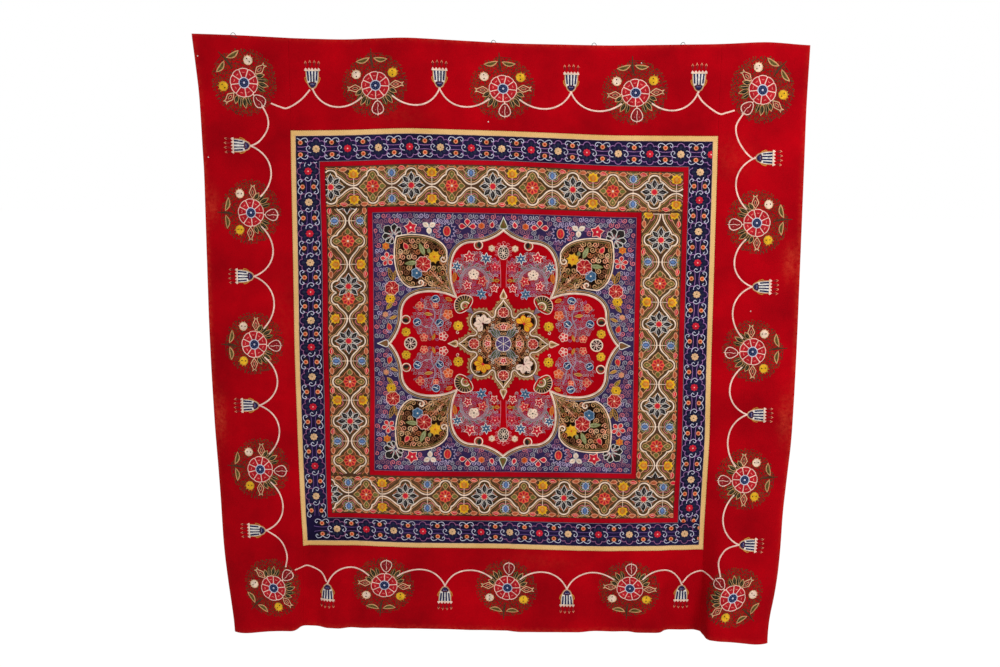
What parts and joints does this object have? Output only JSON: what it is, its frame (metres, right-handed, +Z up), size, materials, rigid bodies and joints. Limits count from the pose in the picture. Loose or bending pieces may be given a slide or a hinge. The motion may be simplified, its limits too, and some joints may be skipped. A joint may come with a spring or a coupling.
{
  "type": "embroidered square wall panel",
  "caption": "Square hanging panel of pieced wool cloth with an inlaid medallion field, framed borders and silk chain stitch embroidery.",
  "frame": {"origin": "middle of the panel's top edge, at the middle of the cloth's thickness", "axes": "+Z up along the hanging cloth, +X to the right as seen from the front, -Y out of the embroidered face"},
  "size_m": [1.7501, 0.065, 1.7927],
  "materials": {
    "crimson_wool": "fulled wool broadcloth, crimson, faded in places",
    "scarlet_wool": "fulled wool broadcloth, red",
    "yellow_wool": "fulled wool broadcloth, straw yellow",
    "navy_wool": "fulled wool broadcloth, navy",
    "taupe_wool": "fulled wool broadcloth, brown",
    "violet_wool": "fulled wool broadcloth, blue violet",
    "black_wool": "fulled wool broadcloth, brown black",
    "silk_thread": "twisted silk thread in chain stitch, many colours",
    "loop_thread": "twisted dark cotton thread"
  },
  "bodies": {
    "root": {"border_left": "crimson_wool", "border_right": "crimson_wool", "border_top": "crimson_wool", "border_bottom": "crimson_wool", "yellow_band_top": "yellow_wool", "yellow_band_bottom": "yellow_wool", "yellow_band_left": "yellow_wool", "yellow_band_right": "yellow_wool", "navy_border_top": "navy_wool", "navy_border_bottom": "navy_wool", "navy_border_left": "navy_wool", "navy_border_right": "navy_wool", "outer_stripe_top": "scarlet_wool", "outer_stripe_bottom": "scarlet_wool", "outer_stripe_left": "scarlet_wool", "outer_stripe_right": "scarlet_wool", "taupe_border_top": "taupe_wool", "taupe_border_bottom": "taupe_wool", "taupe_border_left": "taupe_wool", "taupe_border_right": "taupe_wool", "inner_stripe_top": "scarlet_wool", "inner_stripe_bottom": "scarlet_wool", "inner_stripe_left": "scarlet_wool", "inner_stripe_right": "scarlet_wool", "leaf_top_left": "black_wool", "leaf_top_right": "black_wool", "leaf_bottom_left": "black_wool", "leaf_bottom_right": "black_wool", "field": "violet_wool", "petals": "crimson_wool", "medallion": "black_wool"}
  },
  "joints": []
}
